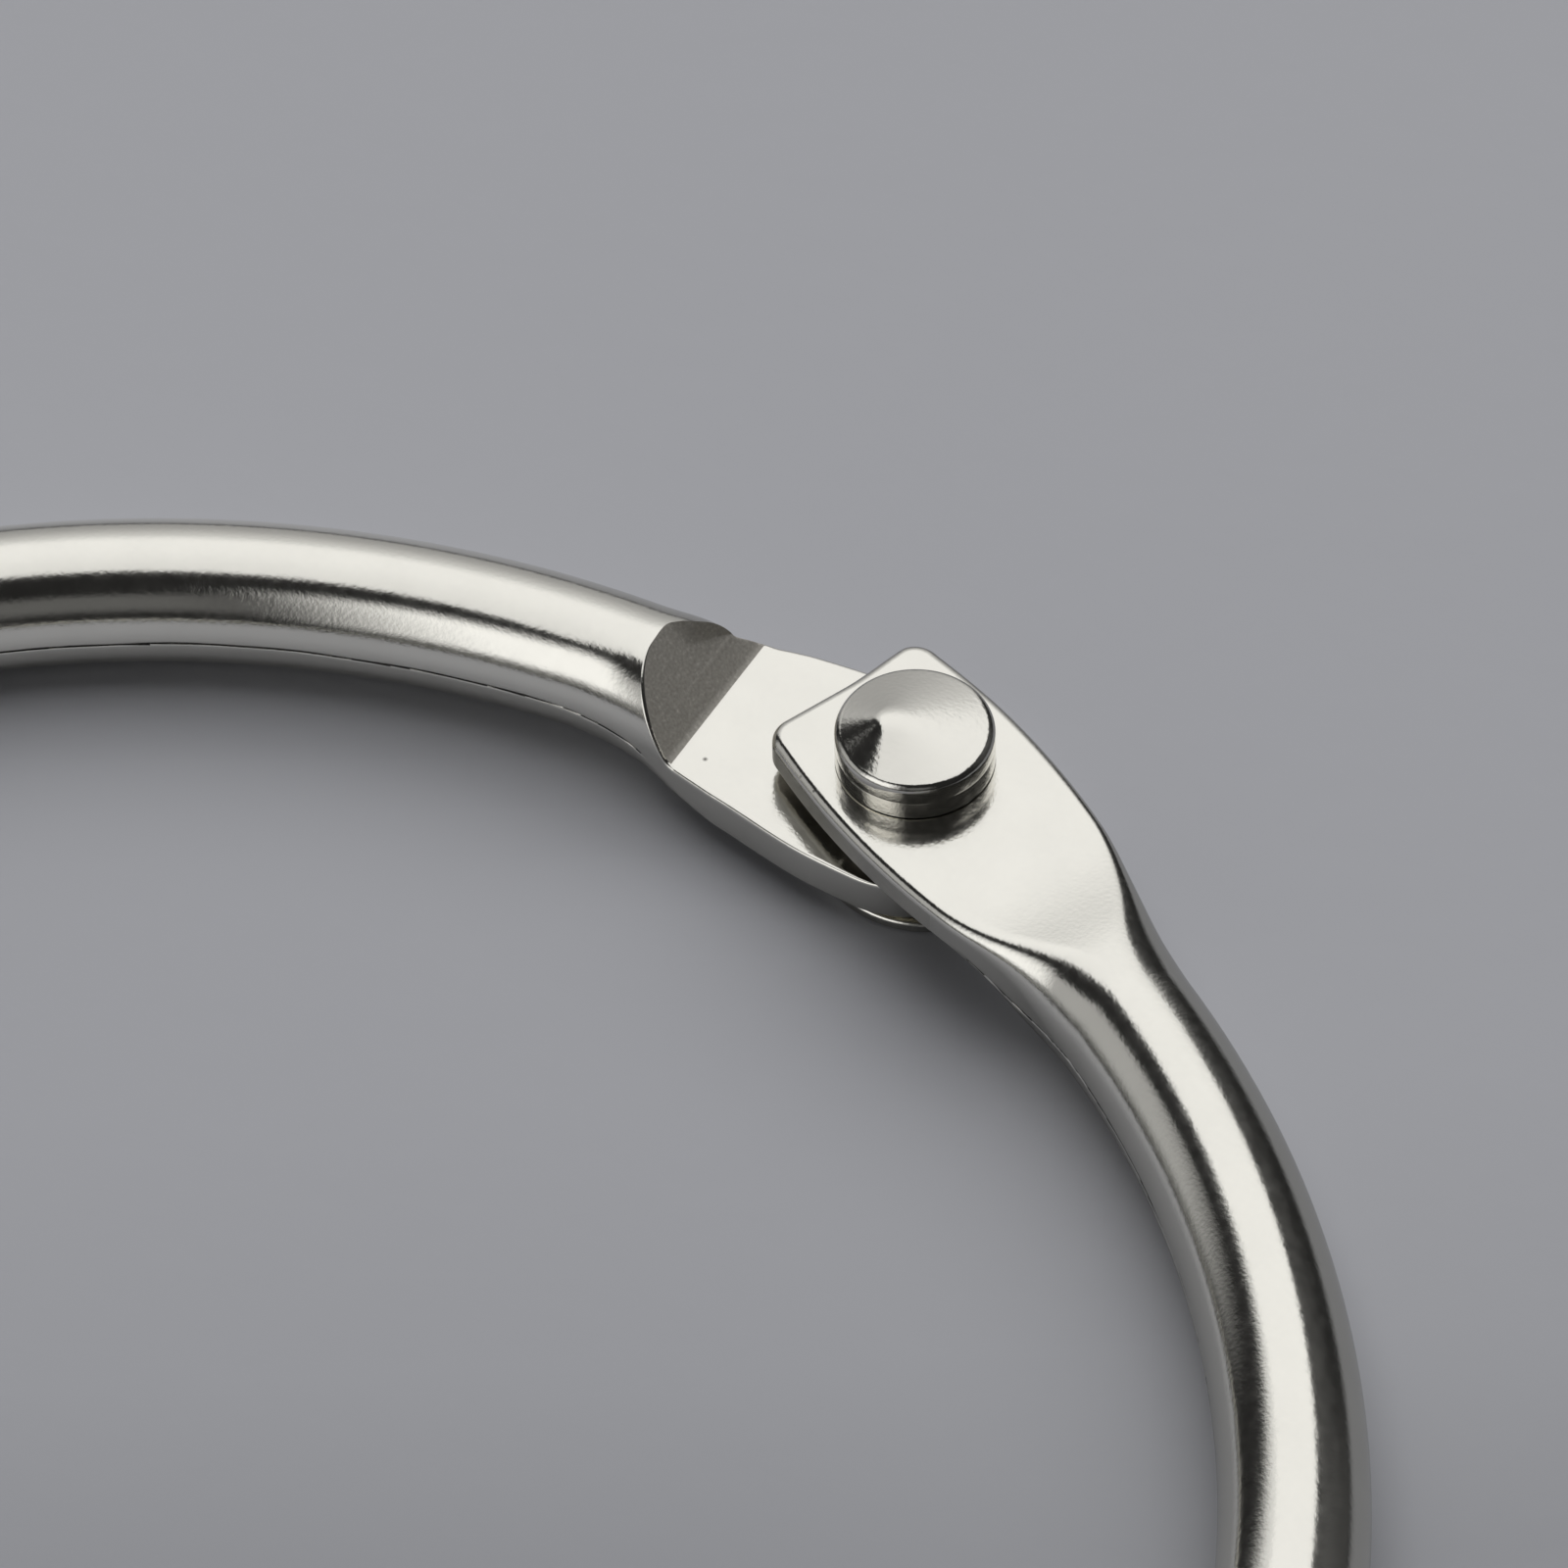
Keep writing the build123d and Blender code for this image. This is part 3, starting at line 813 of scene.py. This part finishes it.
# Painted reflection: rays from the plating see the floor paler at the left, darker at the right, and painted dark
# far off
paper_side = gradient(paper_tree, paper_coords, "LINEAR", 62.5, (-0.31, 0, 0), -VIEW_TURN)
painted_reflection_tone = ramp(paper_tree, paper_side,
                     [(0.0, (0.66, 0.668, 0.712)), (0.25, (0.6, 0.607, 0.648)),
                      (0.6, (0.42, 0.425, 0.454)), (1.0, (0.375, 0.38, 0.405))])
paper_round = gradient(paper_tree, paper_coords, "SPHERICAL", 12.5, (0, -0.3, 0))
far_shade_share = ramp(paper_tree, paper_round, [(0.35, (0.2, 0.2, 0.2)), (0.72, (1.0, 1.0, 1.0))])
shaded_reflection_tone = mixed(paper_tree, 1.0, painted_reflection_tone, far_shade_share, "MULTIPLY")
paper_glossy = paper_tree.nodes.new("ShaderNodeLightPath").outputs["Is Glossy Ray"]
seen_tone = mixed(paper_tree, paper_glossy, shaded_paper_tone, shaded_reflection_tone)
paper_tree.links.new(seen_tone, paper_shader.inputs["Base Color"])
paper_bump = bump(paper_tree, noise(paper_tree, paper_coords, 900, 4), 0.00001)
paper_tree.links.new(paper_bump, paper_shader.inputs["Normal"])
paper_shader.inputs["Roughness"].default_value = 0.9
floor_corners = [(x * FLOOR_REACH, y * FLOOR_REACH, 0) for x, y in ((-1, -1), (1, -1), (1, 1), (-1, 1))]
floor = mesh_object("floor", floor_corners, [(0, 1, 2, 3)], None, [paper])


# Studio light: soft boxes overhead and at the front left, and a pale backdrop at the far side

world = bpy.data.worlds.new("studio")
bpy.context.scene.world = world
world.use_nodes = True
sky = world.node_tree
background = sky.nodes["Background"]
CAMERA_BEARING = VIEW_TURN - QUARTER
FAR = (-math.cos(CAMERA_BEARING), -math.sin(CAMERA_BEARING), 0)
ACROSS = (-math.sin(CAMERA_BEARING), math.cos(CAMERA_BEARING), 0)
DEGREES = 180 / math.pi
LEAST_LIFT = 0.02
DIM_LEVEL, SEEN_LEVEL = 0.02, 0.32
FILL_SHARE = 0.2  # of the fills' light that reaches dull surfaces


def calc(operation, *values):
    node = sky.nodes.new("ShaderNodeMath")
    node.operation = operation
    for socket, value in zip(node.inputs, values):
        feed(sky, socket, value)
    return node.outputs[0]


def dot(vector, direction):
    node = sky.nodes.new("ShaderNodeVectorMath")
    node.operation = "DOT_PRODUCT"
    sky.links.new(vector, node.inputs[0])
    node.inputs[1].default_value = direction
    return node.outputs["Value"]


def step(value, dark, full):
    """Goes smoothly from 0 at one value to 1 at the other."""
    ends = (0.0, 1.0) if dark < full else (1.0, 0.0)
    return map_range(sky, value, min(dark, full), max(dark, full), *ends, "SMOOTHSTEP")


def times(*values):
    result = values[0]
    for value in values[1:]:
        result = calc("MULTIPLY", result, value)
    return result


def rising(value, dark, full, start, gain):
    """A strength that grows by a gain between two values."""
    return calc("ADD", start, calc("MULTIPLY", step(value, dark, full), gain))


direction = sky.nodes.new("ShaderNodeTexCoord").outputs["Generated"]
far, across, up = dot(direction, FAR), dot(direction, ACROSS), dot(direction, UP)
lift = calc("MAXIMUM", up, LEAST_LIFT)
box_across, box_far = calc("DIVIDE", across, lift), calc("DIVIDE", far, lift)
# In degrees. The bearing is 0 at the far side, 90 at the right and 180 at the camera.
bearing = calc("MULTIPLY", calc("ARCTAN2", across, far), DEGREES)
height = calc("MULTIPLY", calc("ARCSINE", up), DEGREES)


def soft_box(left, right, low, high, strength):
    """Light between two bearings and two heights, each given by where it is dark and where it is full."""
    return times(step(bearing, *left), step(bearing, *right), step(height, *low), step(height, *high), strength)


overhead = times(step(box_across, -0.55, -0.47), step(box_across, 0.75, 0.62),
                 step(box_far, -0.25, -0.13), step(box_far, 2.6, 0.9), step(up, 0.1, 0.3),
                 rising(box_far, -0.3, 0.6, 0.98, 0.16))
backdrop = times(step(bearing, -46, -34), step(bearing, 30, 20), step(up, -0.02, 0.0),
                 rising(height, 5, 50, 0.42, 0.55))
front_left = soft_box((-166, -140), (-96, -118), (0, 16), (59, 43), 1.3)
side_left = soft_box((-150, -130), (-52, -72), (-6, 14), (42, 34), 0.48)
right_fill = soft_box((42, 62), (120, 80), (-1, 3), (56, 30), 0.06)
front_fill = times(step(calc("ABSOLUTE", bearing), 150, 172), step(height, 4, 24), step(height, 50, 34), 0.14)
path = sky.nodes.new("ShaderNodeLightPath").outputs
glossy, seen = path["Is Glossy Ray"], path["Is Camera Ray"]
fills = times(step(up, -0.01, 0.02), DIM_LEVEL)
for light in (front_left, side_left, right_fill, front_fill):
    fills = calc("MAXIMUM", fills, light)
fills = calc("MULTIPLY", fills, calc("ADD", FILL_SHARE, calc("MULTIPLY", glossy, 1 - FILL_SHARE)))
key = times(soft_box((-50, -30), (85, 60), (18, 28), (62, 50), 1.7), calc("SUBTRACT", 1.0, glossy))
total = calc("MAXIMUM", calc("MAXIMUM", overhead, backdrop), calc("MAXIMUM", fills, key))
level = calc("ADD", calc("MULTIPLY", total, calc("SUBTRACT", 1.0, seen)), calc("MULTIPLY", seen, SEEN_LEVEL))
background.inputs["Color"].default_value = (1.0, 1.0, 1.0, 1)
sky.links.new(level, background.inputs["Strength"])


# Camera

ELEVATION, ROLL = math.radians(50.03), math.radians(-1.95)
CAMERA_PLACE = (0.0140306, -0.1247696, 0.1698460)  # metres from the ring's centre, before the view's turn

camera_data = bpy.data.cameras.new("camera")
camera = bpy.data.objects.new("camera", camera_data)
bpy.context.scene.collection.objects.link(camera)
back = Vector((0, -math.cos(ELEVATION), math.sin(ELEVATION)))
level_right = Vector((1, 0, 0))
level_up = back.cross(level_right)
camera_right = math.cos(ROLL) * level_right + math.sin(ROLL) * level_up
camera_up = -math.sin(ROLL) * level_right + math.cos(ROLL) * level_up
turn = Matrix.Rotation(VIEW_TURN, 3, "Z")
pose = (turn @ Matrix((camera_right, camera_up, back)).transposed()).to_4x4()
pose.translation = turn @ Vector(CAMERA_PLACE) + UP * wire_radius * MM
camera.matrix_world = pose
camera_data.sensor_width = 36
camera_data.lens = 247.5
camera_data.clip_start = 0.01
camera_data.clip_end = 20
bpy.context.scene.camera = camera
bpy.context.scene.view_settings.view_transform = "Standard"
